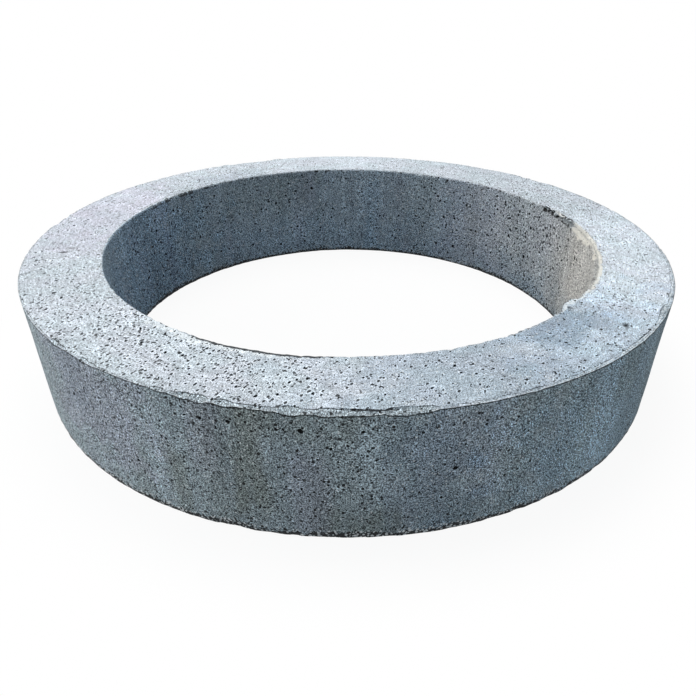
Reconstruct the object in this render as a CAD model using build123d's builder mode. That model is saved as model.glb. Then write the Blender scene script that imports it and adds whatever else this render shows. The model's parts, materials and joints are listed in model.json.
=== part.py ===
"""A precast concrete manhole adjusting ring.

The ring lies flat, with the centre of its underside at the origin and +Z up. It was cast in one pour, so it
is one solid: a rectangular section turned about the ring's axis, with a small broken arris at each corner.
"""

import os

from build123d import *

# Driving dimensions, in millimetres
bore_diameter = 648.0
wall_thickness = 95.0
ring_height = 152.4

# Broken arrises, measured along each face
top_outer_arris = 5.0
top_bore_arris = 3.0
foot_outer_arris = 2.0
foot_bore_arris = 2.0

bore_radius = bore_diameter / 2

# Cast ring
with BuildPart() as adjusting_ring:
    with BuildSketch(Plane.XZ) as wall_section:
        with Locations((bore_radius, 0)):
            Rectangle(wall_thickness, ring_height, align=(Align.MIN, Align.MIN))
        foot_corners, top_corners = wall_section.vertices().group_by(Axis.Y)
        foot_bore_corner, foot_outer_corner = foot_corners.sort_by(Axis.X)
        top_bore_corner, top_outer_corner = top_corners.sort_by(Axis.X)
        chamfer(top_outer_corner, top_outer_arris)
        chamfer(top_bore_corner, top_bore_arris)
        chamfer(foot_outer_corner, foot_outer_arris)
        chamfer(foot_bore_corner, foot_bore_arris)
    revolve(axis=Axis.Z)

adjusting_ring.part.label = "adjusting_ring"

os.makedirs("parts", exist_ok=True)
export_step(adjusting_ring.part, "parts/adjusting_ring.step")
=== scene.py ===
"""Looks of a precast concrete manhole adjusting ring, made in the frame of its solid model.

The ring is cast as one closed mesh with broken corners and real air pits, dressed in dry grey concrete, and
stands on a pale floor. Lengths are in metres. A bearing is in degrees from +X round towards +Y, from above.
"""

import json
import math
import random
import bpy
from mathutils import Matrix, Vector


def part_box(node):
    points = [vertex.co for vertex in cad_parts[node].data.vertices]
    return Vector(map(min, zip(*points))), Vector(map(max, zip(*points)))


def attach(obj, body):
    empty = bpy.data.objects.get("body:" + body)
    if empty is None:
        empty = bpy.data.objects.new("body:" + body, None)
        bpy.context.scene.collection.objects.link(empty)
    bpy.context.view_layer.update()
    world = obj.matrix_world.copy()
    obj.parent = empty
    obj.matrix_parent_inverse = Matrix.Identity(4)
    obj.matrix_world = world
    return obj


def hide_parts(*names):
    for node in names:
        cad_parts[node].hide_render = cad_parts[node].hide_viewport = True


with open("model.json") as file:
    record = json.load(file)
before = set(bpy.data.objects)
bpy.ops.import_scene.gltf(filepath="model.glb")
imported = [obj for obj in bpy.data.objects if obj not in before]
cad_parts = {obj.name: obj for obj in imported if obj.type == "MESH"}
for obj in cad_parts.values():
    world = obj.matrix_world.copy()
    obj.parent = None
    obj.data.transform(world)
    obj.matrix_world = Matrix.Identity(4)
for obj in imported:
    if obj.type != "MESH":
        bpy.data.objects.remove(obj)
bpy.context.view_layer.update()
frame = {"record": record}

from types import SimpleNamespace
from typing import NamedTuple

import bmesh
import bpy
from mathutils import Matrix, Vector, noise

bl_info = {
    "name": "Concrete Adjusting Ring",
    "version": (1, 0, 0),
    "blender": (4, 5, 0),
    "location": "3D View > Sidebar > Adjusting Ring",
    "description": "Casts a worn concrete manhole adjusting ring and sets it on a pale floor",
    "category": "Add Mesh",
}

# What the solid model settles
ring_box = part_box("adjusting_ring")
mounts = {mount["name"]: mount for mount in frame["record"]["mounts"]}
MILLIMETRE = 0.001
OUTER_RADIUS = mounts["outside_wall"]["dims"]["r_mm"] * MILLIMETRE
BORE_RADIUS = mounts["bore"]["dims"]["r_mm"] * MILLIMETRE
RING_HEIGHT = ring_box[1].z

# Mesh of the section: each corner has a strip of short steps on both of its faces
CORNER_STRIP = 0.012
TOP_CUTS = 12
OUTER_CUTS = 14
BORE_CUTS = 12
UNDERSIDE_CUTS = 2
WEDGE_DOUBLINGS = 3
TOUCHING = 0.00001

# Way in which the top was struck off level, in degrees from +X, and how far it draws the grain out and in
STRIKING_WAY = 66.0
DRAWN_OUT = 1.6
DRAWN_IN = 0.95

# Broken corners: the part of a strip that the break takes, its limits, and how rough its ledge is
BREAK_LINE = 0.5
STEEP_START = 0.95
EDGE_CROWDING = 1.6
SHORTEST_BREAK = 0.0004
LONGEST_BREAK = 0.010
LEDGE_ROUGHNESS = 0.0008
LEDGE_WAVELENGTH = 0.0042
HIGHEST_BUMP = 0.1
DEEPEST_LIP = 0.7

# Waves of an uneven rim: their length, their share, and the layer of noise that each adds to the rim's own
RIM_WAVES = ((0.055, 0.7, 0), (0.013, 0.9, 10), (0.0085, 0.6, 20))

# Flakes: how they are spread along a corner, how wide they are, and what they do to its lip and its ledge
FLAKE_SPACING = 0.010
STRAY_FLAKES = 0.14
ADJOINING_FLAKES = 0.004
SMALL_FLAKE = 0.0014
NARROWEST_FLAKE = 0.004
WHOLE_FLAKE = 0.004
FLAKE_LIP = 0.13
FLAKE_CURL = 1.4

# What a wide lip adds to the drop and to the lip's depth, as shares of its extra reach
LIPPED_DROP = 0.1
LIPPED_DEPTH = 0.02

# Crumbled holes: their depth, and the wavelength of the noise that scatters them
HOLE_DEPTH = 0.0032
HOLE_WAVELENGTH = 0.0045

# Sway of the faces: the wavelengths of the walls and of the top, and how much more the top sways
WALL_WAVELENGTH = 0.07
TOP_WAVELENGTH = 0.09
TOP_SWAY = 1.6

# Marks on a ledge: the half width of its pale line, the lip that gives full painted shade in a crease, the
# reach that turns the bore's ledge and its edge dark with painted shade, and how the foot's painted shadow
# thins out up the wall
PALE_HALF_WIDTH = 0.5
FULL_CREASE_SHADE = 0.0007
SHADED_LEDGE = 0.0088
SHADED_EDGE = 0.0080
FOOT_SHADE_AT_WALL = 0.6
FOOT_SHADE_ABOVE = 0.16
FOOT_SHADE_TOP = 1.9

# Depth from which a gouge's painted shade is full, how far the lump rises with its swelling, and how pale
# it is
FULLY_SHADED_GOUGE = 0.0024
LUMP_RISE = 0.3
LUMP_PALENESS = 1.2

# Edges of the painted marks: the two wavelengths in which they wander, and the share of the shorter one
MARK_WAVELENGTHS = (0.03, 0.011)
SHORT_WAVE_SHARE = 0.6

# Crowding of the pits at which a face is as porous as it gets
MOST_CROWDED = 3.0

# Air pits: the smallest against the usual, how much a rare wide one adds, how uneven a rim is, how far a
# pit lies off the middle of its patch, round the ring and across, and how each step inwards narrows it
# and sinks it
SMALLEST_PIT = 0.6
WIDE_PIT = 0.7
UNEVEN_RIM = 0.13
OFF_MIDDLE = (0.0008, 0.0020)
PIT_STEPS = ((0.92, 0.75), (0.55, 0.75))

# Waves or grains per metre of the concrete's patterns
FINENESS = {
    "flecks": 900.0, "grit": 850.0, "sand": 460.0, "ragged": 300.0, "gravel": 150.0, "mottle": 60.0,
    "band": 55.0, "streaks": 38.0, "hue": 20.0, "wide": 16.0, "drift": 9.0,
}

# Squeeze of the grain in the bore, stretch of the walls' streaks, and waves of the trowel's sweeps round
# the ring and across it
BORE_COARSENESS = (0.75, 0.75, 0.75)
STREAK_STRETCH = 0.16
SWEEPS_ROUND = 26.0
SWEEPS_ACROSS = 330.0

# Swing of the grit's tone on the top and on the walls, what it loses in the bore and gains in the cool
# patches, and the darkest that it makes a wall
TOP_GRAIN = 1.9
WALL_GRAIN = 5.2
BORE_CALM = 0.3
COOL_GRAIN = 0.75
DARKEST_GRAIN = 0.28

# Stage: the floor, the radii between which its shadow fades, the shadow's depth, and the sky
WHITE = (1.0, 1.0, 1.0, 1.0)
FLOOR_HALF_WIDTH = 8.0
SHADOW_REACH = (0.43, 0.54)
SHADOW_SHARE = 0.08
SKY_COLOUR = (0.80, 0.91, 1.0, 1.0)
SKY_STRENGTH = 0.36


class Corner(NamedTuple):
    """A corner of the section: where it is, how its faces run from it, how many cuts its strips get, and
    how it is worn all round: the reach along the level face, the drop down the upright one, how much each
    wanders, the depth of the lip where the break starts, how the ledge below it curls, and where a pale
    line runs on it."""

    radius: float
    height: float
    level_way: int
    upright_way: int
    cuts: int
    reach: float
    drop: float
    ragged_reach: float
    ragged_drop: float
    lip: float = 0.0
    curl: float = 1.0
    pale_line: float = 0.0


class Break(NamedTuple):
    """A corner's break at one step round the ring: its reach, its drop, the depth of its lip, and how
    much of it is a flake, from 0 to 1."""

    reach: float
    drop: float
    lip: float
    flaked: float


class Flake(NamedTuple):
    """A shell-shaped flake knocked off a corner: its middle bearing, half width in degrees, and reach."""

    bearing: float
    half_width: float
    reach: float


class Spell(NamedTuple):
    """A stretch of the ring, by its middle bearing and its half width in degrees, and how strong it is."""

    bearing: float
    half_width: float
    strength: float


class Patch(NamedTuple):
    """A mark on a face, soft at its edges: its middle bearing and half width, how far it runs across the
    face, from 0 at the lower or inner side to 1, its strength, and how much its edges wander."""

    bearing: float
    half_width: float
    low: float
    high: float
    strength: float
    wander: float = 0.5


class Pit(NamedTuple):
    """A single air pit that stands out: its bearing, place across its face, and radius."""

    bearing: float
    place: float
    radius: float


class Gouge(NamedTuple):
    """A small hollow in the top: its bearing and radius, its half sizes round and across the ring, its
    depth."""

    bearing: float
    radius: float
    half_round: float
    half_across: float
    depth: float


class AirHoles(NamedTuple):
    """Air holes too small for the mesh, darkened with painted shade: how many cells there are per metre, how
    much of its cell a hole takes, how many of the cells have one where pits are few and where they crowd,
    how deep the painted shade in a hole is, how deep its bump is, and how its cells are squeezed."""

    cells: float
    size: float
    few: float
    many: float
    painted_shade: float
    depth: float
    squeeze: tuple


# Where flakes are knocked off the corners, with how far they reach
CHIPPED = {
    "top_outer": [
        Spell(-104.0, 12.0, 0.0052), Spell(-92.0, 7.0, 0.0040), Spell(-84.0, 4.0, 0.0052),
        Spell(-134.5, 3.5, 0.0034), Spell(-126.0, 4.0, 0.0016), Spell(-33.0, 7.0, 0.0030),
        Spell(40.0, 6.0, 0.0034), Spell(118.0, 9.0, 0.0040), Spell(172.0, 4.0, 0.0030),
    ],
    "top_bore": [
        Spell(8.0, 16.0, 0.0058), Spell(-20.0, 14.0, 0.0040), Spell(150.0, 18.0, 0.0014),
        Spell(-75.0, 8.0, 0.0016), Spell(-128.0, 8.0, 0.0014), Spell(60.0, 14.0, 0.0012),
    ],
    "foot_outer": [
        Spell(-106.0, 3.0, 0.0040), Spell(-95.0, 8.0, 0.0020), Spell(-65.0, 9.0, 0.0022),
        Spell(15.0, 10.0, 0.0030), Spell(95.0, 7.0, 0.0035), Spell(-145.0, 14.0, 0.0020),
    ],
    "foot_bore": [
        Spell(150.0, 30.0, 0.0026), Spell(96.0, 16.0, 0.0022), Spell(40.0, 12.0, 0.0024),
        Spell(-95.0, 9.0, 0.0024),
    ],
}

# Where the struck top ends in a wider lip, with the extra reach
LIPPED = {
    "top_outer": [
        Spell(-38.0, 46.0, 0.0034), Spell(-92.0, 24.0, 0.0014), Spell(125.0, 60.0, 0.0020),
    ],
    "top_bore": [
        Spell(150.0, 46.0, 0.0020), Spell(-60.0, 30.0, 0.0010), Spell(-16.0, 24.0, 0.0045),
        Spell(2.0, 13.0, 0.0042), Spell(-106.0, 18.0, 0.0075),
    ],
}

# Where a corner has crumbled into holes, darkened inside with painted shade
CRUMBLED = {
    "top_bore": [
        Spell(21.0, 3.4, 1.4), Spell(14.0, 4.5, 1.1), Spell(-60.0, 4.0, 0.5), Spell(100.0, 5.0, 0.5),
    ],
    "top_outer": [
        Spell(118.0, 5.0, 0.6),
    ],
}

# Lump of spilt grout that hangs over the edge of the bore
LUMP = Spell(-41.0, 3.6, 0.0078)

# Hollows in the top, darkened inside with painted shade: one behind the lump, two marks of a trowel,
# and two dents
GOUGES = [
    Gouge(-42.6, 0.3325, 0.0028, 0.0020, 0.0010),
    Gouge(-169.7, 0.3740, 0.0034, 0.0080, 0.0010),
    Gouge(-171.6, 0.3660, 0.0030, 0.0060, 0.0007),
    Gouge(-42.0, 0.3906, 0.0046, 0.0040, 0.0012),
    Gouge(64.0, 0.3797, 0.0040, 0.0050, 0.0010),
]

# Where air pits crowd together on each face, as a share added to the even spread
CROWDED = {
    "top": [
        Spell(-117.0, 33.0, 3.8), Spell(-150.0, 22.0, 1.4), Spell(75.0, 20.0, 0.8), Spell(128.0, 22.0, 2.2),
        Spell(28.0, 22.0, 2.2),
    ],
    "outer": [
        Spell(-128.0, 26.0, 2.4), Spell(-97.0, 15.0, 1.6), Spell(60.0, 30.0, 0.9),
    ],
    "bore": [
        Spell(26.0, 20.0, 2.8), Spell(58.0, 14.0, 1.2), Spell(160.0, 20.0, 0.8), Spell(-120.0, 25.0, 0.8),
    ],
}

# How coarse the pits of each face are beside the usual ones
COARSENESS = {"top": 0.94, "outer": 0.85, "bore": 1.35}

# Single pits that stand out, placed across their face from 0 at its lower or inner side to 1
LONE_PITS = {
    "outer": [
        Pit(-76.6, 0.51, 0.0026), Pit(-88.6, 0.87, 0.0020), Pit(-95.8, 0.86, 0.0027),
        Pit(-92.6, 0.78, 0.0019), Pit(-104.9, 0.86, 0.0023), Pit(-129.0, 0.75, 0.0020),
        Pit(-132.3, 0.63, 0.0018), Pit(-111.2, 0.91, 0.0015), Pit(-108.9, 0.90, 0.0021),
    ],
    "bore": [
        Pit(26.4, 0.72, 0.0026), Pit(14.7, 0.78, 0.0020), Pit(9.3, 0.62, 0.0022), Pit(37.7, 0.72, 0.0022),
        Pit(47.3, 0.45, 0.0024), Pit(62.0, 0.80, 0.0020), Pit(125.9, 0.70, 0.0020),
        Pit(147.3, 0.70, 0.0019),
    ],
    "top": [
        Pit(-95.0, 0.70, 0.0020), Pit(-102.2, 0.85, 0.0021), Pit(-105.3, 0.68, 0.0020),
        Pit(-117.3, 0.36, 0.0022), Pit(-119.4, 0.42, 0.0021), Pit(-124.7, 0.42, 0.0020),
        Pit(-129.3, 0.61, 0.0022), Pit(-156.2, 0.59, 0.0020), Pit(-48.3, 0.85, 0.0017),
        Pit(-35.0, 0.76, 0.0018), Pit(-79.4, 0.64, 0.0018),
    ],
}

# Air holes in the material, from the widest to the finest
AIR_HOLES = [
    AirHoles(140.0, 0.225, 0.07, 0.32, 0.97, 0.0, (1.0, 1.0, 1.0)),
    AirHoles(220.0, 0.37, 0.13, 0.50, 0.95, 0.0012, (1.02, 0.98, 1.03)),
    AirHoles(350.0, 0.42, 0.03, 0.12, 0.94, 0.0006, (1.01, 0.99, 0.97)),
]

# Soft marks on the faces, each painted into an attribute of its own
MARKS = {
    "soiled": {
        "outer": [
            Patch(-102.8, 3.8, 0.1, 1.3, 1.0, 0.3), Patch(-113.5, 2.2, -0.2, 0.62, 0.8, 0.3),
            Patch(-88.0, 8.0, -0.5, 0.36, 1.0, 0.15), Patch(-94.0, 9.0, 0.72, 1.3, 0.7, 0.3),
            Patch(-60.0, 6.0, 0.7, 1.2, 0.5), Patch(-47.0, 4.0, 0.5, 1.3, 0.6),
            Patch(30.0, 9.0, 0.3, 1.05, 0.8), Patch(100.0, 8.0, 0.0, 0.6, 0.8),
            Patch(118.0, 4.0, 0.3, 1.2, 0.9), Patch(160.0, 7.0, 0.4, 1.05, 0.7),
        ],
        "bore": [
            Patch(118.0, 26.0, 0.45, 1.7, 0.6), Patch(66.0, 12.0, 0.5, 1.5, 0.4),
            Patch(-60.0, 10.0, 0.2, 1.05, 0.7), Patch(-140.0, 9.0, 0.0, 0.7, 0.7),
        ],
    },
    "violet": {
        "top": [
            Patch(168.0, 30.0, -0.3, 1.4, 0.8),
        ],
        "outer": [
            Patch(-128.0, 14.0, 0.2, 1.3, 1.0), Patch(-95.5, 3.4, -0.1, 0.8, 0.8, 0.3),
            Patch(-109.0, 3.0, 0.4, 1.2, 0.7, 0.3), Patch(-76.0, 8.0, 0.2, 1.2, 0.5),
            Patch(60.0, 20.0, 0.0, 1.2, 0.8),
        ],
        "bore": [
            Patch(48.0, 16.0, -0.3, 1.5, 0.6),
        ],
    },
    "cool_and_shade": {
        "top": [
            Patch(-46.0, 26.0, -0.6, 1.6, 0.5), Patch(-66.0, 42.0, -0.6, 1.6, 0.3),
        ],
        "outer": [
            Patch(-46.0, 30.0, -0.4, 1.4, 0.9), Patch(0.0, 30.0, -0.4, 1.0, 0.8),
        ],
        "bore": [
            # Painted shade: the patch at bearing 172 cools the bore's left side, which faces away from the
            # side lamp
            Patch(172.0, 42.0, -0.6, 1.6, 1.0), Patch(83.0, 3.5, -0.3, 1.1, 0.6),
            Patch(100.0, 60.0, -0.8, 0.5, 0.5),
        ],
    },
    "damp_and_shade": {
        "top": [
            Patch(-50.0, 11.0, -0.3, 0.60, 1.0, 0.3), Patch(-41.5, 6.0, 0.05, 0.75, 0.5, 0.3),
            Patch(-74.0, 19.0, -0.4, 1.3, 0.52), Patch(128.0, 16.0, -0.2, 0.5, 0.5),
        ],
        "outer": [
            Patch(-80.0, 8.0, -0.2, 1.1, 0.95), Patch(-88.0, 8.0, -0.5, 0.32, 0.4, 0.15),
            Patch(-62.0, 6.0, 0.2, 1.0, 0.3), Patch(-132.0, 5.0, 0.5, 1.2, 0.5),
            Patch(75.0, 14.0, 0.2, 0.9, 0.5),
        ],
        "bore": [
            # Painted shade: darkens the bore's left side, which faces away from the side lamp
            Patch(172.0, 26.0, -0.6, 0.9, 0.7),
        ],
    },
    "chalky": {
        "top": [
            Patch(-14.0, 36.0, -0.4, 1.5, 1.0), Patch(92.0, 36.0, -0.4, 1.5, 0.25),
            Patch(-112.0, 30.0, -0.4, 1.5, 0.17),
        ],
        "outer": [
            Patch(-52.0, 9.0, -0.4, 0.7, 0.8), Patch(-118.0, 9.0, -0.2, 1.1, 0.5),
            Patch(-86.0, 4.0, 0.3, 0.9, 0.5),
        ],
    },
    # Pale lines along the broken corners and over the lump
    "dusty": {
        "top": [
            Patch(-30.0, 22.0, -0.10, 0.09, 0.95, 0.2), Patch(-116.0, 24.0, -0.10, 0.17, 1.0, 0.12),
            Patch(-41.0, 5.0, -0.10, 0.12, 1.0, 0.1), Patch(160.0, 50.0, -0.10, 0.07, 0.9, 0.3),
            Patch(-36.0, 44.0, 0.955, 1.06, 0.9, 0.2),
        ],
        "bore": [
            Patch(-1.0, 14.0, 0.94, 1.2, 1.0, 0.4),
        ],
    },
    # Lime bloom and painted light: pales and warms the bore's right side, which faces the side lamp, and
    # warms the top beside it
    "bloom_and_light": {
        "top": [
            Patch(-8.0, 28.0, -0.14, 0.12, 0.9, 0.4),
        ],
        "bore": [
            Patch(4.0, 60.0, 0.0, 2.0, 0.34, 0.12), Patch(-10.0, 36.0, -0.3, 2.2, 0.4, 0.12),
            Patch(-20.0, 34.0, -0.3, 2.2, 0.4, 0.12),
        ],
    },
}

# Names of all the numbers painted on the mesh
PAINTED = ("pit", "rim", "porous", "plate", "inner", "chipped", "foot", "trowelled", "pale", "crease", *MARKS)

# Bearings of the joints between the form's plates, with the tone of the plate that follows
JOINTS = {
    "outer": [(-83.5, 1.10), (36.5, 1.08), (156.5, 1.0)],
    "bore": [(84.8, 1.0), (-155.0, 0.94), (-35.0, 0.92)],
}


def length(name, description, default):
    """A setting that is a length."""
    return bpy.props.FloatProperty(name=name, description=description, default=default, unit="LENGTH")


def count(name, description, default, least=0):
    """A setting that is a whole number."""
    return bpy.props.IntProperty(name=name, description=description, default=default, min=least)


def paint(name, description, default):
    """A setting that is a colour."""
    return bpy.props.FloatVectorProperty(name=name, description=description, default=default, subtype="COLOR")


class RingSizes(bpy.types.PropertyGroup):
    """Sizes of the cast ring."""

    outer_radius: length("Outer radius", "Radius of the outside wall", OUTER_RADIUS)
    bore_radius: length("Bore radius", "Radius of the bore", BORE_RADIUS)
    height: length("Height", "Height of the ring", RING_HEIGHT)
    steps: count("Steps", "Steps of the mesh round the ring", 840, least=60)
    sway: length("Sway", "How far the faces wander inwards", 0.0008)
    pit_radius: length("Pit radius", "Radius of a usual air pit", 0.0015)
    top_pits: count("Pits in the top", "Air pits modelled in the top", 780)
    outer_pits: count("Pits in the outside", "Air pits modelled in the outside wall", 250)
    bore_pits: count("Pits in the bore", "Air pits modelled in the bore", 310)
    seed: count("Seed", "Start of the random draws", 7)


class ConcreteColours(bpy.types.PropertyGroup):
    """Colours of the concrete and of the floor."""

    trowelled: paint("Trowelled top", "Pale skin of the struck top", (0.566, 0.627, 0.676))
    lilac: paint("Lilac drift", "Warmer grey that the top drifts to", (0.599, 0.635, 0.695))
    formed: paint("Outside wall", "Grey of the outside wall, cast against steel", (0.274, 0.329, 0.359))
    # Painted shade: darker and bluer than the outside wall's grey, for the shade inside the bore, lit mostly
    # by the blue sky
    inner: paint("Bore", "Blue grey of the bore", (0.230, 0.290, 0.344))
    # Cool tints, and painted shade on the bore's left side
    cool_and_shade: paint("Cool patches", "What the cooler patches multiply the grey by", (0.90, 0.985, 1.055))
    violet: paint("Violet patches", "What the violet patches multiply the grey by", (1.055, 0.98, 1.035))
    earthy: paint("Earthy patches", "What the brown patches multiply the grey by", (0.79, 0.765, 0.69))
    broken: paint("Broken face", "Raw face of the broken corners", (0.36, 0.415, 0.448))
    # Lime bloom and painted light: paler and warmer than the bore's grey, on the side that faces the side
    # lamp
    bloom_and_light: paint("Lime bloom", "Beige bloom at one end of the bore", (0.485, 0.471, 0.448))
    # Damp stains, and painted shade on the bore's left side
    damp_and_shade: paint("Damp patches", "What the damp patches multiply the grey by", (0.63, 0.675, 0.715))
    # Takes the same lime bloom and painted light as the bloom above
    cream: paint("Creamy lip", "Broken edge of the bore where lime has bloomed", (0.80, 0.765, 0.69))
    lip: paint("Pale lip", "Pale line on the broken corners", (0.86, 0.91, 0.94))
    chip: paint("Pale chips", "Pale chips and grains of sand", (0.90, 0.93, 0.94))
    # Painted shadow: near black, for the shade in and under the broken foot
    foot_shadow: paint("Foot shadow", "Painted shadow in the broken foot", (0.012, 0.013, 0.014))
    floor: paint("Floor", "Colour of the floor as it lights the ring", (0.40, 0.41, 0.42))


# Shape of the ring

def ring_corners(sizes):
    """The four corners of the wall's section, in order round it from the foot of the bore."""
    bore, outer, top = sizes.bore_radius, sizes.outer_radius, sizes.height
    return {
        "foot_bore": Corner(bore, 0.0, 1, 1, 3, 0.0010, 0.0034, 0.0004, 0.0018),
        "foot_outer": Corner(outer, 0.0, -1, 1, 3, 0.0012, 0.0056, 0.0007, 0.0038),
        "top_outer": Corner(outer, top, -1, -1, 5, 0.0016, 0.0010, 0.0008, 0.0004, 0.0004, 1.5, 0.8),
        "top_bore": Corner(bore, top, 1, -1, 5, 0.0028, 0.0034, 0.0009, 0.0010, 0.0003, 8.0, 0.15),
    }


def draw_section(shape, corners):
    """Lays the section out as a loop, with close-set points on both sides of each corner."""
    middle_cuts = {
        "foot_bore": UNDERSIDE_CUTS, "foot_outer": OUTER_CUTS, "top_outer": TOP_CUTS, "top_bore": BORE_CUTS}
    names = list(corners)
    loop = []
    for name, following in zip(names, names[1:] + names[:1]):
        start = Vector((corners[name].radius, 0, corners[name].height))
        end = Vector((corners[following].radius, 0, corners[following].height))
        strip = (end - start).normalized() * CORNER_STRIP
        loop += [
            (start, corners[name].cuts),
            (start + strip, middle_cuts[name]),
            (end - strip, corners[following].cuts),
        ]
    points = [shape.verts.new(place) for place, cuts in loop]
    sides = [shape.edges.new(pair) for pair in zip(points, points[1:] + points[:1])]
    for side, (place, cuts) in zip(sides, loop):
        bmesh.ops.subdivide_edges(shape, edges=[side], cuts=cuts)


def spin_ring(sizes, corners):
    """Turns the section about the ring's axis into a closed mesh whose faces point outwards."""
    shape = bmesh.new()
    draw_section(shape, corners)
    wedge = math.tau / 2 ** WEDGE_DOUBLINGS
    bmesh.ops.spin(
        shape, geom=shape.verts[:] + shape.edges[:], cent=(0, 0, 0), axis=(0, 0, 1), dvec=(0, 0, 0),
        angle=wedge, steps=sizes.steps // 2 ** WEDGE_DOUBLINGS, use_merge=False, use_duplicate=False)
    for doubling in range(WEDGE_DOUBLINGS):
        whole = shape.verts[:] + shape.edges[:] + shape.faces[:]
        copied = bmesh.ops.duplicate(shape, geom=whole)["geom"]
        points = [item for item in copied if isinstance(item, bmesh.types.BMVert)]
        turn = Matrix.Rotation(wedge * 2 ** doubling, 3, "Z")
        bmesh.ops.rotate(shape, verts=points, cent=(0, 0, 0), matrix=turn)
    bmesh.ops.remove_doubles(shape, verts=shape.verts[:], dist=TOUCHING)
    bmesh.ops.recalc_face_normals(shape, faces=shape.faces[:])
    return shape


def polar(place):
    """A place's distance from the axis, and its bearing."""
    return math.hypot(place.x, place.y), math.degrees(math.atan2(place.y, place.x))


def turned_apart(bearing, other):
    """The angle between two bearings, from 0 to 180 degrees."""
    return abs((bearing - other + 180.0) % 360.0 - 180.0)


def strength_at(bearing, spells):
    """Adds up the spells that a bearing lies in, each fading smoothly to its ends."""
    total = 0.0
    for spell in spells:
        share = max(0.0, 1.0 - turned_apart(bearing, spell.bearing) / spell.half_width)
        total += spell.strength * share * (2.0 - share)
    return total


def rim_noise(bearing, radius, wavelength, layer):
    """Smooth noise round the rim, from about -1 to 1, that closes on itself."""
    angle = math.radians(bearing)
    turn = radius / wavelength
    return noise.noise(Vector((math.cos(angle) * turn, math.sin(angle) * turn, layer)))


def draw_flakes(corner, spells, dice):
    """Flakes knocked off a corner: they adjoin and go deep where it is chipped, and are few and small
    elsewhere."""
    flakes = []
    spacing = math.degrees(FLAKE_SPACING / corner.radius)
    for number in range(round(360.0 / spacing)):
        bearing = spacing * (number + dice.uniform(-0.5, 0.5))
        deep = strength_at(bearing, spells)
        reach = dice.uniform(0.3, 1.0) * (SMALL_FLAKE + deep)
        half_width = math.degrees((NARROWEST_FLAKE + dice.uniform(0.7, 1.8) * reach) / corner.radius)
        if dice.random() < STRAY_FLAKES + deep / ADJOINING_FLAKES:
            flakes.append(Flake(bearing, half_width, reach))
    return flakes


def flake_reach(bearing, flakes):
    """How far the deepest flake at a bearing reaches; each has a round outline and sharp ends."""
    deepest = 0.0
    for flake in flakes:
        share = turned_apart(bearing, flake.bearing) / flake.half_width
        if share < 1.0:
            deepest = max(deepest, flake.reach * math.sqrt(1.0 - share * share))
    return deepest


def rim_wander(bearing, radius, layer):
    """Uneven wander round a rim, slow and fast together, mostly between -1 and 1."""
    return sum(share * rim_noise(bearing, radius, wave, layer + extra) for wave, share, extra in RIM_WAVES)


def broken_edges(sizes, corners, dice):
    """The break of each corner at each step round the ring."""
    edges = {}
    for layer, (name, corner) in enumerate(corners.items()):
        flakes = draw_flakes(corner, CHIPPED[name], dice)
        level_share, upright_share = (1.0, 0.7) if corner.upright_way < 0 else (0.3, 1.0)
        row = []
        for step in range(sizes.steps):
            bearing = 360.0 * step / sizes.steps
            flaked = flake_reach(bearing, flakes)
            lipped = strength_at(bearing, LIPPED.get(name, []))
            reach = corner.reach + corner.ragged_reach * rim_wander(bearing, corner.radius, 3.7 * layer)
            drop = corner.drop + corner.ragged_drop * rim_wander(bearing, corner.radius, 3.7 * layer + 1.9)
            reach = min(max(reach, SHORTEST_BREAK) + lipped + level_share * flaked, LONGEST_BREAK)
            drop = min(
                max(drop, SHORTEST_BREAK) + LIPPED_DROP * lipped + upright_share * flaked, LONGEST_BREAK)
            lip = min(corner.lip + LIPPED_DEPTH * lipped + FLAKE_LIP * flaked, DEEPEST_LIP * drop)
            row.append(Break(reach, drop, lip if corner.lip else 0.0, min(flaked / WHOLE_FLAKE, 1.0)))
        edges[name] = row
    return edges


def on_corner_strip(corner, radius, height):
    """Signed distance from a corner along its faces, negative on the level one, or None off its strips."""
    if abs(height - corner.height) < TOUCHING:
        distance = (radius - corner.radius) * corner.level_way
        if distance < CORNER_STRIP - TOUCHING:
            return -distance
    elif abs(radius - corner.radius) < TOUCHING:
        distance = (height - corner.height) * corner.upright_way
        if distance < CORNER_STRIP - TOUCHING:
            return distance
    return None


def break_corner(corner, signed, edge, sink):
    """New radius and height of a point on a corner's strip, and its place down the ledge of the break: 0
    at the lip, 1 at the upright face, and below 0 or above 1 past the break."""
    share = abs(signed) / CORNER_STRIP
    if share > BREAK_LINE - TOUCHING:
        start = edge.reach if signed < 0 else edge.drop
        beyond = max((share - BREAK_LINE) / (1 - BREAK_LINE), 0.0)
        distance = start + (CORNER_STRIP - start) * beyond ** EDGE_CROWDING
        if signed < 0:
            return corner.radius + distance * corner.level_way, corner.height, -0.1 - beyond
        return corner.radius, corner.height + distance * corner.upright_way, 1.0 + beyond
    across = 0.5 + 0.5 * signed / (BREAK_LINE * CORNER_STRIP)
    first = 1.0 / (corner.cuts + 1)
    ledge = max((across - first) / (1.0 - first), 0.0)
    sink = max(4.0 * ledge * (1.0 - ledge) * sink, -HIGHEST_BUMP * edge.reach)
    level = STEEP_START * edge.reach * (1.0 - ledge) + sink
    curl = corner.curl + (FLAKE_CURL - corner.curl) * edge.flaked
    upright = edge.lip + (edge.drop - edge.lip) * ledge ** curl + sink
    return corner.radius + level * corner.level_way, corner.height + upright * corner.upright_way, ledge


def crumbled_hole(name, bearing, place):
    """How deep in a crumbled hole a point of a broken corner lies, from 0 to 1."""
    crumbled = strength_at(bearing, CRUMBLED.get(name, []))
    if not crumbled:
        return 0.0
    return min(crumbled * soft_step(3.0 * noise.noise(place / HOLE_WAVELENGTH) + 0.2), 1.0)


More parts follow.
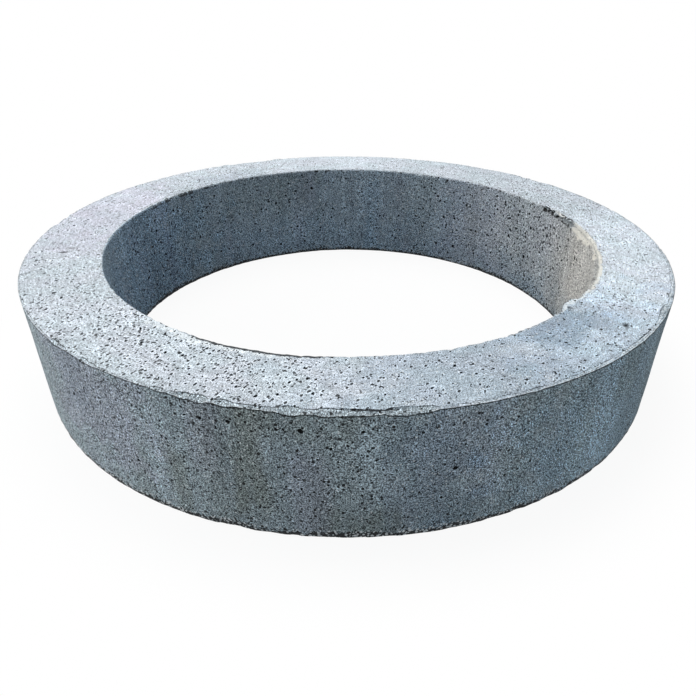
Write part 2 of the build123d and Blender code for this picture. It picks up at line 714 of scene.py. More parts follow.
def gouge_share(gouge, radius, bearing):
    """How deep in a gouge a point lies, from 0 outside it to 1 in its middle."""
    away_round = math.radians(turned_apart(bearing, gouge.bearing)) * radius / gouge.half_round
    away_across = (radius - gouge.radius) / gouge.half_across
    return max(0.0, 1.0 - away_round ** 2 - away_across ** 2)


def face_sway(place, wavelength, layer):
    """Smooth noise over a face, from 0 to 1."""
    offset = Vector((layer, 2.0 * layer, 3.0 * layer))
    return min(max(0.5 + 0.5 * noise.fractal(place / wavelength + offset, 0.9, 2.1, 3), 0.0), 1.0)


def place_across(sizes, radius, height):
    """The face that holds or lies nearest above a point, and the point's place across it from 0 to 1."""
    if sizes.height - height < TOUCHING:
        return "top", (radius - sizes.bore_radius) / (sizes.outer_radius - sizes.bore_radius)
    middle = (sizes.bore_radius + sizes.outer_radius) / 2
    return ("outer" if radius > middle else "bore"), height / sizes.height


def soft_step(value):
    """Eases a number between 0 and 1."""
    value = min(max(value, 0.0), 1.0)
    return value * value * (3.0 - 2.0 * value)


def mark_strength(patches, bearing, place, wander):
    """How strongly any of the patches marks a point; their edges wander."""
    total = 0.0
    for patch in patches:
        share = 1.0 - turned_apart(bearing, patch.bearing) / patch.half_width + patch.wander * wander
        middle = (patch.low + patch.high) / 2
        rise = 1.0 - abs(place - middle) / (patch.high - middle) + patch.wander * wander
        total += patch.strength * soft_step(1.6 * share) * soft_step(2.2 * rise)
    return min(total, 1.0)


def plate_tone(face, bearing):
    """Tone of the form plate that cast a point: it changes at once where two plates meet."""
    joints = JOINTS.get(face)
    if not joints:
        return 1.0
    return min(joints, key=lambda joint: (bearing - joint[0]) % 360.0)[1]


def new_layers(shape, *names):
    """Adds numbers to the mesh's points, one layer under each name."""
    return {name: shape.verts.layers.float.new(name) for name in names}


def paint_marks(shape, sizes):
    """Paints the soft marks, the crowding of the pinholes and the tone of the form plates on the mesh."""
    layers = new_layers(shape, *MARKS, "porous", "plate", "inner")
    for point in shape.verts:
        radius, bearing = polar(point.co)
        face, place = place_across(sizes, radius, point.co.z)
        slow, fast = (noise.noise(point.co / wave) for wave in MARK_WAVELENGTHS)
        wander = slow + SHORT_WAVE_SHARE * fast
        for name, patches in MARKS.items():
            point[layers[name]] = mark_strength(patches.get(face, []), bearing, place, wander)
        point[layers["porous"]] = min(strength_at(bearing, CROWDED[face]) / MOST_CROWDED, 1.0)
        point[layers["plate"]] = plate_tone(face, bearing)
        point[layers["inner"]] = 1.0 if face == "bore" else 0.0


def mark_edge(point, layers, corner, edge, ledge):
    """Marks a point of a corner's strip: the foot's painted shadow, or a top corner's ledge, pale line and
    the painted shade of its creases."""
    inside = -TOUCHING < ledge < 1.0
    if corner.upright_way > 0:
        # Painted shadow of the foot: full on the broken band, less where it meets the wall, and a little
        # above
        above = FOOT_SHADE_AT_WALL if abs(ledge - 1.0) < TOUCHING else FOOT_SHADE_ABOVE if 1.0 < ledge < FOOT_SHADE_TOP else 0.0
        point[layers["foot"]] = 1.0 if inside else above
        return
    on_bore = corner.level_way > 0
    if inside:
        point[layers["chipped"]] = 0.15 + 0.85 * edge.flaked
        point[layers["trowelled"]] = 1.0 - (0.5 + 0.5 * edge.flaked) * ledge
        paleness = max(0.0, 1.0 - abs(ledge - corner.pale_line) / PALE_HALF_WIDTH)
        point[layers["pale"]] = paleness * (1.0 - 0.3 * edge.flaked)
    # Painted shade in the creases: along the lip, at a flake's step, on the bore's deep ledges, and where the
    # ledge meets the upright face
    depth = min(edge.lip / FULL_CREASE_SHADE, 1.0)
    if -0.2 < ledge < TOUCHING:
        point[layers["crease"]] = depth * (1.0 if inside else 0.7) * (0.4 if on_bore else 1.0)
    elif abs(ledge - 0.2) < TOUCHING:
        point[layers["crease"]] = 0.9 * depth * edge.flaked
    elif 0.3 < ledge < 0.9 and on_bore:
        point[layers["crease"]] = min(edge.reach / SHADED_LEDGE, 1.0) ** 2 * ledge ** 0.4
    elif abs(ledge - 1.0) < TOUCHING:
        point[layers["crease"]] = min(edge.reach / SHADED_EDGE, 1.0) ** 2 if on_bore else 1.0


def wear_ring(shape, sizes, corners, dice):
    """Breaks the corners back and lets the faces wander, always inwards, and marks the broken bands."""
    edges = broken_edges(sizes, corners, dice)
    layers = new_layers(shape, "chipped", "foot", "trowelled", "pale", "crease")
    pit_shade = shape.verts.layers.float["pit"]
    for point in shape.verts:
        radius, bearing = polar(point.co)
        height = point.co.z
        column = round(bearing % 360.0 * sizes.steps / 360.0) % sizes.steps
        at_top = sizes.height - height < TOUCHING
        point[layers["trowelled"]] = 1.0 if at_top else 0.0
        new_radius, new_height = radius, height
        for name, corner in corners.items():
            signed = on_corner_strip(corner, radius, height)
            if signed is None:
                continue
            edge = edges[name][column]
            hole = crumbled_hole(name, bearing, point.co)
            bumps = LEDGE_ROUGHNESS * noise.noise(point.co / LEDGE_WAVELENGTH) * (1.0 + edge.flaked)
            sink = bumps + HOLE_DEPTH * hole
            new_radius, new_height, ledge = break_corner(corner, signed, edge, sink)
            mark_edge(point, layers, corner, edge, ledge)
            # Painted shade inside the crumbled holes
            if -TOUCHING < ledge < 1.3:
                point[pit_shade] = max(point[pit_shade], hole)
            break
        outer_share = max(0.0, 1.0 - (sizes.outer_radius - radius) / CORNER_STRIP)
        bore_share = max(0.0, 1.0 - (radius - sizes.bore_radius) / CORNER_STRIP)
        top_share = max(0.0, 1.0 - (sizes.height - height) / CORNER_STRIP)
        new_radius -= sizes.sway * outer_share * face_sway(point.co, WALL_WAVELENGTH, 1.0)
        new_radius += sizes.sway * bore_share * face_sway(point.co, WALL_WAVELENGTH, 2.0)
        new_height -= TOP_SWAY * sizes.sway * top_share * face_sway(point.co, TOP_WAVELENGTH, 3.0)
        swelling = strength_at(bearing, [LUMP]) * bore_share * top_share
        new_radius -= swelling
        new_height = min(new_height + LUMP_RISE * swelling, sizes.height)
        point[layers["pale"]] = max(point[layers["pale"]], LUMP_PALENESS * swelling / LUMP.strength)
        for gouge in GOUGES if at_top else []:
            share = gouge_share(gouge, radius, bearing)
            new_height -= gouge.depth * share
            # Painted shade inside the gouge, full from a set depth
            point[pit_shade] = max(point[pit_shade], share ** 0.5 * min(gouge.depth / FULLY_SHADED_GOUGE, 1.0))
        around = math.radians(bearing)
        point.co = (new_radius * math.cos(around), new_radius * math.sin(around), new_height)


# Air pits

def face_of(sizes, radius, height):
    """Which face holds a point well clear of the corners, and the point's place across it from 0 to 1."""
    width = sizes.outer_radius - sizes.bore_radius
    clear = CORNER_STRIP + TOUCHING
    if abs(height - sizes.height) < TOUCHING:
        inwards = min(radius - sizes.bore_radius, sizes.outer_radius - radius)
        return ("top", (radius - sizes.bore_radius) / width) if inwards > clear else (None, 0.0)
    if min(height, sizes.height - height) > clear:
        if abs(radius - sizes.outer_radius) < TOUCHING:
            return "outer", height / sizes.height
        if abs(radius - sizes.bore_radius) < TOUCHING:
            return "bore", height / sizes.height
    return None, 0.0


def pit_sites(shape, sizes):
    """The mesh points that can take a pit, with their bearing and place, sorted by face."""
    sites = {"top": [], "outer": [], "bore": []}
    for point in shape.verts:
        radius, bearing = polar(point.co)
        face, place = face_of(sizes, radius, point.co.z)
        if face:
            sites[face].append((point, bearing, place))
    return sites


def claim(point, taken):
    """Takes the faces round a point for a pit, unless one of them is taken."""
    patch = set(point.link_faces)
    if patch & taken:
        return False
    taken |= patch
    return True


def nearest_site(sites, pit):
    """The mesh point closest to where a lone pit belongs."""
    def gap(site):
        return turned_apart(site[1], pit.bearing) / 2.0 + abs(site[2] - pit.place) * 10.0
    return min(sites, key=gap)[0]


def choose_pits(shape, sizes, dice):
    """Picks the mesh points that become pits, and gives each a radius."""
    sites = pit_sites(shape, sizes)
    taken = set()
    chosen = {}
    for face, pits in LONE_PITS.items():
        for pit in pits:
            point = nearest_site(sites[face], pit)
            if claim(point, taken):
                chosen[point] = pit.radius
    for face, wanted in (("top", sizes.top_pits), ("outer", sizes.outer_pits), ("bore", sizes.bore_pits)):
        crowding = [1.0 + strength_at(bearing, CROWDED[face]) for point, bearing, place in sites[face]]
        scale = wanted / sum(crowding)
        for (point, bearing, place), share in zip(sites[face], crowding):
            if dice.random() < share * scale and claim(point, taken):
                usual = sizes.pit_radius * COARSENESS[face]
                plain = usual * dice.uniform(SMALLEST_PIT, 1.0)
                chosen[point] = plain * (1.0 + WIDE_PIT * dice.random() ** 4)
    return chosen


def rim_frame(face):
    """A pit's middle, its outward direction, and two directions along its face, the first one level."""
    normal = face.normal.copy()
    middle = face.calc_center_median()
    outwards = Vector((middle.x, middle.y, 0)).normalized()
    level = Vector((0, 0, 1)).cross(outwards)
    return middle, normal, level, normal.cross(level)


def round_rim(face, radius, dice):
    """Moves a pit's eight corners onto an uneven oval, a little off the middle of its patch."""
    middle, normal, level, across = rim_frame(face)
    for way, limit in zip((level, across), OFF_MIDDLE):
        middle = middle + way * dice.uniform(-limit, limit)
    points = [loop.vert for loop in face.loops]
    first = max(range(len(points)), key=lambda index: (points[index].co - middle).normalized().dot(level))
    lean = dice.uniform(0, math.pi)
    stretch = dice.uniform(0.0, 0.28)
    if normal.z > 0.9:
        lean = math.radians(STRIKING_WAY - 90.0 - polar(middle)[1]) + dice.uniform(-0.4, 0.4)
        stretch = dice.uniform(0.15, 0.4)
    for index, point in enumerate(points):
        angle = math.tau * (index - first) / len(points)
        oval = stretch * math.cos(2 * (angle - lean))
        reach = radius * (1.0 + oval + dice.uniform(-UNEVEN_RIM, UNEVEN_RIM))
        point.co = middle + (level * math.cos(angle) + across * math.sin(angle)) * reach
    return middle, normal


def sink_ring(face, middle, normal, narrowing, depth):
    """Draws a pit's inner corners together and pushes them into the concrete."""
    for point in face.verts:
        point.co = middle + (point.co - middle) * narrowing - normal * depth


def sink_pits(shape, sizes, dice):
    """Opens the chosen points into small round pits, as deep as they are wide, and marks their insides for
    painted shade and their rims for painted highlights.
    """
    pit_shade = shape.verts.layers.float.new("pit")
    highlit_rim = shape.verts.layers.float.new("rim")
    chosen = choose_pits(shape, sizes, dice)
    radii = [(point.co.copy(), radius) for point, radius in chosen.items()]
    bmesh.ops.dissolve_verts(shape, verts=list(chosen))
    patches = {tuple(round(number, 4) for number in face.calc_center_median()): face
               for face in shape.faces if len(face.verts) == 8}
    pits = []
    for place, radius in radii:
        middle = min(patches, key=lambda key: (Vector(key) - place).length_squared)
        pits.append((patches.pop(middle), radius))
    faces = [face for face, radius in pits]
    bmesh.ops.inset_individual(shape, faces=faces, thickness=TOUCHING, depth=0.0)
    rims = [round_rim(face, radius, dice) for face, radius in pits]
    # Painted highlight on each pit's rim
    for face in faces:
        for point in face.verts:
            point[highlit_rim] = 1.0
    for narrowing, depth in PIT_STEPS:
        bmesh.ops.inset_individual(shape, faces=faces, thickness=TOUCHING, depth=0.0)
        for (face, radius), (middle, normal) in zip(pits, rims):
            sink_ring(face, middle, normal, narrowing, depth * radius)
            # Inside a pit: painted shade, and no painted highlight
            for point in face.verts:
                point[pit_shade] = 1.0
                point[highlit_rim] = 0.0


# Concrete

def add_node(tree, kind, inputs=None, **settings):
    """Adds a shader node, sets its options, and feeds its inputs with values or with other nodes'
    outputs."""
    node = tree.nodes.new("ShaderNode" + kind)
    for option, value in settings.items():
        setattr(node, option, value)
    for name, value in (inputs or {}).items():
        if isinstance(value, bpy.types.NodeSocket):
            tree.links.new(value, node.inputs[name])
        else:
            node.inputs[name].default_value = value
    return node


def empty_material(name):
    """A new material without nodes, and its tree."""
    material = bpy.data.materials.new(name)
    material.use_nodes = True
    material.node_tree.nodes.clear()
    return material, material.node_tree


def maths(tree, operation, first, second=0.0, third=0.0):
    """One sum on up to three numbers."""
    return add_node(tree, "Math", {0: first, 1: second, 2: third}, operation=operation).outputs[0]


def times(tree, first, second):
    """The product of two numbers."""
    return maths(tree, "MULTIPLY", first, second)


def vector_maths(tree, operation, first, second=(0.0, 0.0, 0.0)):
    """One sum on sets of coordinates."""
    return add_node(tree, "VectorMath", {0: first, 1: second}, operation=operation).outputs[0]


def scale_by(tree, values, factor):
    """Multiplies a colour or a set of coordinates by a number."""
    return add_node(tree, "VectorMath", {0: values, "Scale": factor}, operation="SCALE").outputs[0]


def distance(tree, place):
    """How far a place lies from the middle."""
    return add_node(tree, "VectorMath", {0: place}, operation="LENGTH").outputs["Value"]


def remap(tree, value, low, high, to_low=0.0, to_high=1.0, smooth=False):
    """Maps one range of numbers onto another and holds it at both ends."""
    ranges = {"Value": value, "From Min": low, "From Max": high, "To Min": to_low, "To Max": to_high}
    kind = "SMOOTHSTEP" if smooth else "LINEAR"
    return add_node(tree, "MapRange", ranges, interpolation_type=kind).outputs[0]


def colour(values):
    """A colour with its alpha, unless it comes from a node."""
    return values if isinstance(values, bpy.types.NodeSocket) else (*values, 1.0)


def mix_colour(tree, share, first, second, blend="MIX"):
    """Mixes two colours."""
    inputs = {0: share, 6: colour(first), 7: colour(second)}
    return add_node(tree, "Mix", inputs, data_type="RGBA", blend_type=blend).outputs[2]


def stained(tree, share, tint, stain):
    """A colour multiplied by a stain, as far as the share says."""
    return mix_colour(tree, share, tint, stain, "MULTIPLY")


def mix_vector(tree, share, first, second):
    """Mixes two sets of coordinates."""
    return add_node(tree, "Mix", {0: share, 4: first, 5: second}, data_type="VECTOR").outputs[1]


def cloud(tree, vector, scale, detail=2.0, roughness=0.5):
    """Soft noise, from 0 to 1."""
    inputs = {"Vector": vector, "Scale": scale, "Detail": detail, "Roughness": roughness}
    return add_node(tree, "TexNoise", inputs).outputs[0]


def scaled(tree, vector, scale):
    """Stretches or squeezes a pattern's coordinates."""
    return add_node(tree, "Mapping", {"Vector": vector, "Scale": scale}).outputs[0]


def attribute(tree, name):
    """One of the mesh's own numbers."""
    return add_node(tree, "Attribute", attribute_name=name, attribute_type="GEOMETRY").outputs["Fac"]


def swing(tree, value, gain):
    """Turns noise about one half into a factor about 1 that swings by the gain."""
    return maths(tree, "MULTIPLY_ADD", maths(tree, "SUBTRACT", value, 0.5), gain, 1.0)


def contrast(tree, value, base):
    """Turns noise about one half into a factor about 1: the base raised to the noise's distance from one
    half."""
    return maths(tree, "POWER", base, maths(tree, "SUBTRACT", value, 0.5))


def fade(tree, share, depth):
    """A factor that falls from 1 by the given depth as the share rises to 1."""
    return maths(tree, "SUBTRACT", 1.0, times(tree, share, depth))


def boost(tree, share, gain):
    """A factor that rises from 1 by the given gain as the share rises to 1."""
    return maths(tree, "MULTIPLY_ADD", share, gain, 1.0)


def shade(tree, tint, *factors):
    """Darkens or lightens a colour by each number in turn."""
    for factor in factors:
        tint = scale_by(tree, tint, factor)
    return tint


def specks(tree, vector, scale, size, share):
    """Scattered round specks of many sizes: nearly 1 inside a speck and 0 elsewhere. Also gives the rings
    round them, which the air holes use for painted highlights."""
    cells = add_node(tree, "TexVoronoi", {"Vector": vector, "Scale": scale})
    draws = add_node(tree, "SeparateColor", {"Color": cells.outputs["Color"]}).outputs
    present = maths(tree, "LESS_THAN", draws[0], share)
    strength = times(tree, present, remap(tree, draws[1], 0.0, 0.8, 0.85, 1.0))
    width = remap(tree, draws[2], 0.0, 1.0, 0.65 * size, 1.15 * size)
    away = maths(tree, "DIVIDE", cells.outputs["Distance"], width)
    inside = remap(tree, away, 0.86, 1.0, 1.0, 0.0, smooth=True)
    around = maths(tree, "SUBTRACT", remap(tree, away, 1.1, 1.8, 1.0, 0.0, smooth=True), inside)
    return times(tree, inside, strength), times(tree, around, strength)


def grains(tree, vector, scale):
    """Grit in small sharp-edged grains, each with a random value from 0 to 1."""
    cells = add_node(tree, "TexVoronoi", {"Vector": vector, "Scale": scale})
    return add_node(tree, "SeparateColor", {"Color": cells.outputs["Color"]}).outputs[0]


def swept(tree, place):
    """Coordinates that run slowly round the ring and fast across it, for the long marks of a trowel."""
    flat = vector_maths(tree, "MULTIPLY", place, (1, 1, 0))
    level = scale_by(tree, vector_maths(tree, "NORMALIZE", flat), SWEEPS_ROUND)
    across = times(tree, distance(tree, flat), SWEEPS_ACROSS)
    return vector_maths(tree, "ADD", level, add_node(tree, "CombineXYZ", {2: across}).outputs[0])


def concrete_patterns(tree, marks):
    """What the faces share: grain at four sizes, the trowel's sweeps, slow drifts of tone and hue, and
    the noise that makes edges ragged. The grain is drawn out on the top and coarser in the bore."""
    place = add_node(tree, "TexCoord").outputs["Object"]
    upright = scaled(tree, place, (1.0, 1.0, STREAK_STRETCH))
    struck = add_node(tree, "Mapping", {
        "Vector": place,
        "Rotation": (0.0, 0.0, math.radians(STRIKING_WAY)),
        "Scale": (DRAWN_OUT, DRAWN_IN, 1.0),
    }, vector_type="TEXTURE").outputs[0]
    on_top = maths(tree, "GREATER_THAN", marks.trowelled, 0.6)
    formed = mix_vector(tree, marks.inner, place, scaled(tree, place, BORE_COARSENESS))
    drawn = mix_vector(tree, on_top, formed, struck)
    return SimpleNamespace(
        place=place,
        upright=upright,
        drawn=drawn,
        flecks=grains(tree, drawn, FINENESS["flecks"]),
        grit=cloud(tree, drawn, FINENESS["grit"], 0.0),
        sand=cloud(tree, place, FINENESS["sand"], 1.0),
        gravel=cloud(tree, place, FINENESS["gravel"]),
        sweeps=cloud(tree, swept(tree, place), 1.0),
        drift=swing(tree, cloud(tree, place, FINENESS["drift"], 4.0, 0.6), 0.35),
        ragged=maths(tree, "SUBTRACT", cloud(tree, place, FINENESS["ragged"], 2.0, 0.6), 0.5))


def top_colour(tree, colours, marks, patterns):
    """Tone of the struck top."""
    hue = cloud(tree, patterns.place, FINENESS["hue"], 3.0, 0.55)
    tint = mix_colour(tree, remap(tree, hue, 0.36, 0.64, smooth=True), colours.trowelled, colours.lilac)
    tint = stained(tree, marks.cool_and_shade, tint, colours.cool_and_shade)
    tint = stained(tree, marks.violet, tint, colours.violet)
    # Lime bloom and painted light
    tint = mix_colour(tree, marks.bloom_and_light, tint, colours.bloom_and_light)
    mottle = swing(tree, cloud(tree, patterns.place, FINENESS["mottle"], 1.0), 0.2)
    tint = shade(
        tree, tint, patterns.drift, mottle, swing(tree, patterns.grit, TOP_GRAIN),
        swing(tree, patterns.flecks, 0.24), swing(tree, patterns.sweeps, 0.9),
        boost(tree, marks.chalky, 0.28))
    brushed = times(tree, marks.damp_and_shade, remap(tree, patterns.sweeps, 0.3, 0.6, 0.6, 1.0))
    return stained(tree, brushed, tint, colours.damp_and_shade)


def wall_colour(tree, colours, marks, patterns):
    """Tone of the formed walls, with upright streaks."""
    streaks = swing(tree, cloud(tree, patterns.upright, FINENESS["streaks"], 2.0, 0.6), 0.7)
    band = remap(tree, cloud(tree, patterns.upright, FINENESS["band"]), 0.40, 0.56, 0.55, 1.0)
    wide = cloud(tree, patterns.upright, FINENESS["wide"], 3.0)
    soiled = times(tree, marks.soiled, band)
    earthy = maths(tree, "MAXIMUM", soiled, remap(tree, wide, 0.54, 0.70, 0.0, 0.5))
    haze = maths(tree, "MAXIMUM", marks.violet, remap(tree, wide, 0.46, 0.34, 0.0, 0.6))
    # Painted shade: the bore takes its darker, bluer grey
    tint = mix_colour(tree, marks.inner, colours.formed, colours.inner)
    # Cool tints, and painted shade on the bore's left side
    tint = stained(tree, marks.cool_and_shade, tint, colours.cool_and_shade)
    tint = stained(tree, haze, tint, colours.violet)
    tint = stained(tree, earthy, tint, colours.earthy)
    # Lime bloom and painted light on the bore's right side
    tint = mix_colour(tree, marks.bloom_and_light, shade(tree, tint, marks.plate), colours.bloom_and_light)
    gain = times(tree, fade(tree, marks.inner, BORE_CALM), boost(tree, marks.cool_and_shade, COOL_GRAIN))
    grain = swing(tree, patterns.grit, times(tree, gain, WALL_GRAIN))
    tint = shade(
        tree, tint, streaks, patterns.drift, maths(tree, "MAXIMUM", grain, DARKEST_GRAIN),
        contrast(tree, patterns.gravel, 1.25), boost(tree, marks.chalky, 0.25))
    # Damp stains, and painted shade on the bore's left side
    return stained(tree, times(tree, marks.damp_and_shade, 0.8), tint, colours.damp_and_shade)


def break_corners(tree, tint, colours, marks, patterns):
    """Bares raw concrete on the broken corners, with a pale line on the ledge, and gives the painted shade
    of the creases as a factor."""
    raw = shade(tree, colours.broken, contrast(tree, patterns.grit, 70.0))
    rawness = times(tree, marks.chipped, fade(tree, marks.bloom_and_light, 0.8))
    tint = mix_colour(tree, times(tree, rawness, 0.85), tint, raw)
    paleness = maths(tree, "MAXIMUM", marks.pale, marks.dusty)
    paleness = times(tree, paleness, boost(tree, marks.bloom_and_light, 1.8))
    pale_line = remap(tree, maths(tree, "MULTIPLY_ADD", patterns.ragged, 2.0, paleness), 0.72, 0.92)
    pale_line = times(tree, pale_line, fade(tree, marks.pit, 0.8))
    lip = mix_colour(tree, marks.bloom_and_light, colours.lip, colours.cream)
    tint = mix_colour(tree, times(tree, pale_line, 0.9), tint, lip)
    # Painted shade along the creases, ragged at its edges
    shade_line = remap(tree, maths(tree, "MULTIPLY_ADD", patterns.ragged, -1.6, marks.crease), 0.40, 0.60)
    return tint, fade(tree, times(tree, shade_line, fade(tree, marks.bloom_and_light, 0.8)), 0.88)


def shaded_foot(tree, tint, colours, marks, patterns):
    """Ragged painted shadow at the foot, where the broken foot meets the floor, with pale chips over it."""
    edge = maths(tree, "MULTIPLY_ADD", patterns.ragged, 3.2, marks.foot)
    # Painted shadow: the ragged foot band turns nearly black
    tint = mix_colour(tree, remap(tree, edge, 0.42, 0.52, 0.0, 0.97, smooth=True), tint, colours.foot_shadow)
    near_foot = times(tree, remap(tree, marks.foot, 0.02, 0.14), fade(tree, marks.inner, 0.75))
    chips = times(tree, specks(tree, patterns.place, 290.0, 0.46, 0.75)[0], near_foot)
    return mix_colour(tree, times(tree, chips, 0.8), tint, colours.chip)


def concrete_material(colours):
    """Dry cast concrete: pale, pitted and trowelled on top, grey, gritty and streaked on the formed
    walls."""
    material, tree = empty_material("cast_concrete")
    marks = SimpleNamespace(**{name: attribute(tree, name) for name in PAINTED})
    patterns = concrete_patterns(tree, marks)
    walls = wall_colour(tree, colours, marks, patterns)
    tint = mix_colour(tree, marks.trowelled, walls, top_colour(tree, colours, marks, patterns))
    tint, crease_shade_factor = break_corners(tree, tint, colours, marks, patterns)
    tint = shaded_foot(tree, tint, colours, marks, patterns)

    # Pale grains, and air holes with painted shade inside and painted highlights on the rims round them, over
    # relief too fine for the mesh
    pale_grains = specks(tree, scaled(tree, patterns.place, (0.95, 1.0, 1.04)), 360.0, 0.31, 0.28)[0]
    tint = mix_colour(tree, times(tree, pale_grains, 0.7), tint, colours.chip)
    height = times(tree, patterns.grit, 0.0005)
    height = maths(tree, "MULTIPLY_ADD", patterns.sand, 0.0010, height)
    height = maths(tree, "MULTIPLY_ADD", patterns.gravel, 0.0007, height)
    # Painted shade inside the modelled pits, crumbled holes and gouges, and then in each kind of air hole
    painted_shade = [fade(tree, remap(tree, marks.pit, 0.05, 0.4), 0.96)]
    rims = marks.rim
    for kind in AIR_HOLES:
        share = remap(tree, marks.porous, 0.0, 1.0, kind.few, kind.many)
        holes, around = specks(tree, scaled(tree, patterns.drawn, kind.squeeze), kind.cells, kind.size, share)
        painted_shade.append(fade(tree, holes, kind.painted_shade))
        rims = maths(tree, "MAXIMUM", rims, around)
        height = maths(tree, "MULTIPLY_ADD", holes, -kind.depth, height)
    # Painted shade in the creases and holes, and painted highlights on the rims round the holes
    tint = shade(tree, tint, crease_shade_factor, boost(tree, rims, 0.36), *painted_shade)
    bump = add_node(tree, "Bump", {"Height": height, "Strength": 0.9, "Distance": 1.0})

    roughness = remap(tree, patterns.sand, 0.3, 0.7, 0.82, 0.98)
    surface = add_node(tree, "BsdfPrincipled", {
        "Base Color": tint, "Roughness": roughness, "Normal": bump.outputs[0], "Specular IOR Level": 0.3})
    add_node(tree, "OutputMaterial", {"Surface": surface.outputs[0]})
    return material


class ADJUSTING_RING_OT_cast(bpy.types.Operator):
    """Cast the ring: its worn shape, its air pits and its concrete"""

    bl_idname = "adjusting_ring.cast"
    bl_label = "Cast the ring"

    def execute(self, context):
        sizes = context.scene.adjusting_ring_sizes
        corners = ring_corners(sizes)
        shape = spin_ring(sizes, corners)
        dice = random.Random(sizes.seed)
        paint_marks(shape, sizes)
        sink_pits(shape, sizes, dice)
        wear_ring(shape, sizes, corners, dice)
        mesh = bpy.data.meshes.new("cast_ring")
        shape.to_mesh(mesh)
        shape.free()
        mesh.shade_smooth()
        mesh.set_sharp_from_angle(angle=math.radians(40))
        mesh.materials.append(concrete_material(context.scene.adjusting_ring_colours))
        ring = bpy.data.objects.new("cast_ring", mesh)
        context.scene.collection.objects.link(ring)
        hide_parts("adjusting_ring")
        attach(ring, "root")
        return {"FINISHED"}


# Stage

def split_rays(tree, output, lighting, shown):
    """Ends a tree with one shader for the rays that light the ring and another for those that show what is
    behind it, straight or in a gloss."""
    rays = add_node(tree, "LightPath").outputs
    showing = maths(tree, "MAXIMUM", rays["Is Camera Ray"], rays["Is Glossy Ray"])
    showing = maths(tree, "MAXIMUM", showing, rays["Is Transmission Ray"])
    both = add_node(tree, "MixShader", {0: showing, 1: lighting.outputs[0], 2: shown.outputs[0]})
    add_node(tree, output, {"Surface": both.outputs[0]})


def floor_material(colours):
    """A floor that looks white and keeps a soft shadow round the ring, but throws little light back."""
    material, tree = empty_material("studio_floor")
    plain = add_node(tree, "BsdfDiffuse", {"Color": colour(colours.floor)})
    glow = add_node(tree, "Emission", {"Color": WHITE, "Strength": 1.0})
    shadowed = add_node(tree, "BsdfDiffuse", {"Color": WHITE})
    place = add_node(tree, "TexCoord").outputs["Object"]
    shadow = remap(tree, distance(tree, place), *SHADOW_REACH, SHADOW_SHARE, 0.0, smooth=True)
    seen = add_node(tree, "MixShader", {0: shadow, 1: glow.outputs[0], 2: shadowed.outputs[0]})
    split_rays(tree, "OutputMaterial", plain, seen)
    return material


def lay_floor(scene, colours):
    """A wide flat floor under the ring."""
    shape = bmesh.new()
    bmesh.ops.create_grid(shape, x_segments=1, y_segments=1, size=FLOOR_HALF_WIDTH)
    mesh = bpy.data.meshes.new("studio_floor")
    shape.to_mesh(mesh)
    shape.free()
    mesh.materials.append(floor_material(colours))
    floor = bpy.data.objects.new("studio_floor", mesh)
    scene.collection.objects.link(floor)


def light_world(scene):
    """A dim bluish sky that looks plain white behind the ring."""
    world = bpy.data.worlds.new("studio_sky")
    world.use_nodes = True
    tree = world.node_tree
    tree.nodes.clear()
    sky = add_node(tree, "Background", {"Color": SKY_COLOUR, "Strength": SKY_STRENGTH})
    white = add_node(tree, "Background", {"Color": WHITE, "Strength": 1.0})
    split_rays(tree, "OutputWorld", sky, white)
    scene.world = world


def hang_lamp(scene, name, place, width, watts, tint):
    """A square soft lamp that points at the ring."""
    lamp = bpy.data.lights.new(name, "AREA")
    lamp.size = width
    lamp.energy = watts
    lamp.color = tint
    hung = bpy.data.objects.new(name, lamp)
    hung.location = place
    hung.rotation_euler = (-Vector(place)).to_track_quat("-Z", "Y").to_euler()
    hung.visible_camera = False
    scene.collection.objects.link(hung)


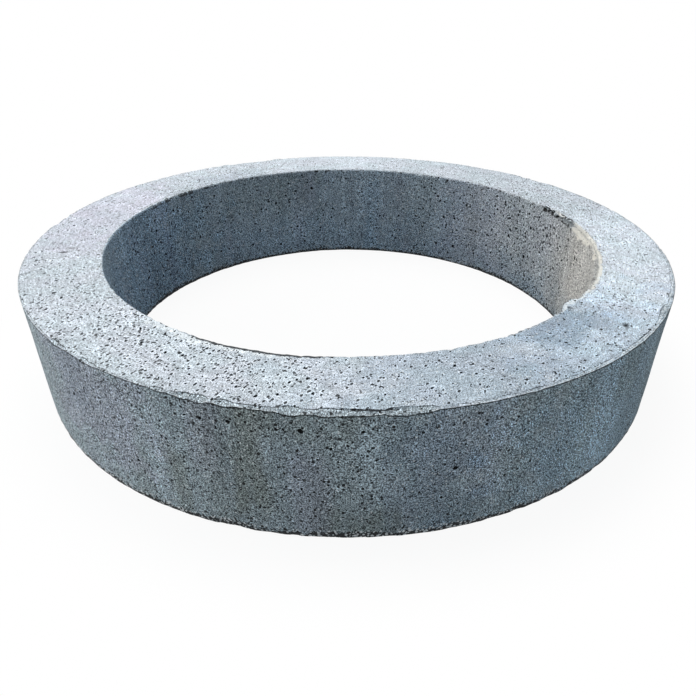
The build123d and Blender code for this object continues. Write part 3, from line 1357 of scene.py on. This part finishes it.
def set_camera(scene):
    """Sets the camera up at the photograph's height, distance and tilt."""
    lens = bpy.data.cameras.new("photo_camera")
    lens.sensor_width = 36.0
    lens.lens = 32.66
    lens.shift_x = -0.0337
    lens.shift_y = 0.0754
    camera = bpy.data.objects.new("photo_camera", lens)
    yaw = Matrix.Rotation(math.radians(-2.16), 4, "Z")
    pitch = Matrix.Rotation(math.radians(90.0 - 35.12), 4, "X")
    roll = Matrix.Rotation(math.radians(1.07), 4, "Z")
    stand = Matrix.Translation((0.0, -0.8472, 0.4670))
    camera.matrix_world = stand @ yaw @ pitch @ roll
    scene.collection.objects.link(camera)
    scene.camera = camera


class ADJUSTING_RING_OT_set_stage(bpy.types.Operator):
    """Lay the floor, hang the lamps and set up the camera"""

    bl_idname = "adjusting_ring.set_stage"
    bl_label = "Set the stage"

    def execute(self, context):
        scene = context.scene
        scene.view_settings.view_transform = "Standard"
        lay_floor(scene, scene.adjusting_ring_colours)
        light_world(scene)
        hang_lamp(scene, "overhead_lamp", (-0.3, 0.9, 2.5), 2.2, 46.0, (1.0, 0.98, 0.95))
        hang_lamp(scene, "side_lamp", (-2.6, 0.2, 0.9), 1.4, 38.0, (1.0, 0.98, 0.94))
        hang_lamp(scene, "front_lamp", (-0.8, -2.6, 1.1), 1.6, 10.0, (1.0, 1.0, 1.0))
        set_camera(scene)
        return {"FINISHED"}


class ADJUSTING_RING_PT_sidebar(bpy.types.Panel):
    """Sidebar panel with the steps and the settings"""

    bl_label = "Adjusting Ring"
    bl_space_type = "VIEW_3D"
    bl_region_type = "UI"
    bl_category = "Adjusting Ring"

    def draw(self, context):
        layout = self.layout
        layout.operator(ADJUSTING_RING_OT_set_stage.bl_idname)
        layout.operator(ADJUSTING_RING_OT_cast.bl_idname)
        for group in (context.scene.adjusting_ring_sizes, context.scene.adjusting_ring_colours):
            for name in group.__annotations__:
                layout.prop(group, name)


CLASSES = (
    RingSizes,
    ConcreteColours,
    ADJUSTING_RING_OT_cast,
    ADJUSTING_RING_OT_set_stage,
    ADJUSTING_RING_PT_sidebar,
)


def register():
    for kind in CLASSES:
        bpy.utils.register_class(kind)
    bpy.types.Scene.adjusting_ring_sizes = bpy.props.PointerProperty(type=RingSizes)
    bpy.types.Scene.adjusting_ring_colours = bpy.props.PointerProperty(type=ConcreteColours)


def unregister():
    del bpy.types.Scene.adjusting_ring_colours
    del bpy.types.Scene.adjusting_ring_sizes
    for kind in reversed(CLASSES):
        bpy.utils.unregister_class(kind)


def main():
    register()
    bpy.ops.adjusting_ring.set_stage()
    bpy.ops.adjusting_ring.cast()


if __name__ == "__main__":
    main()
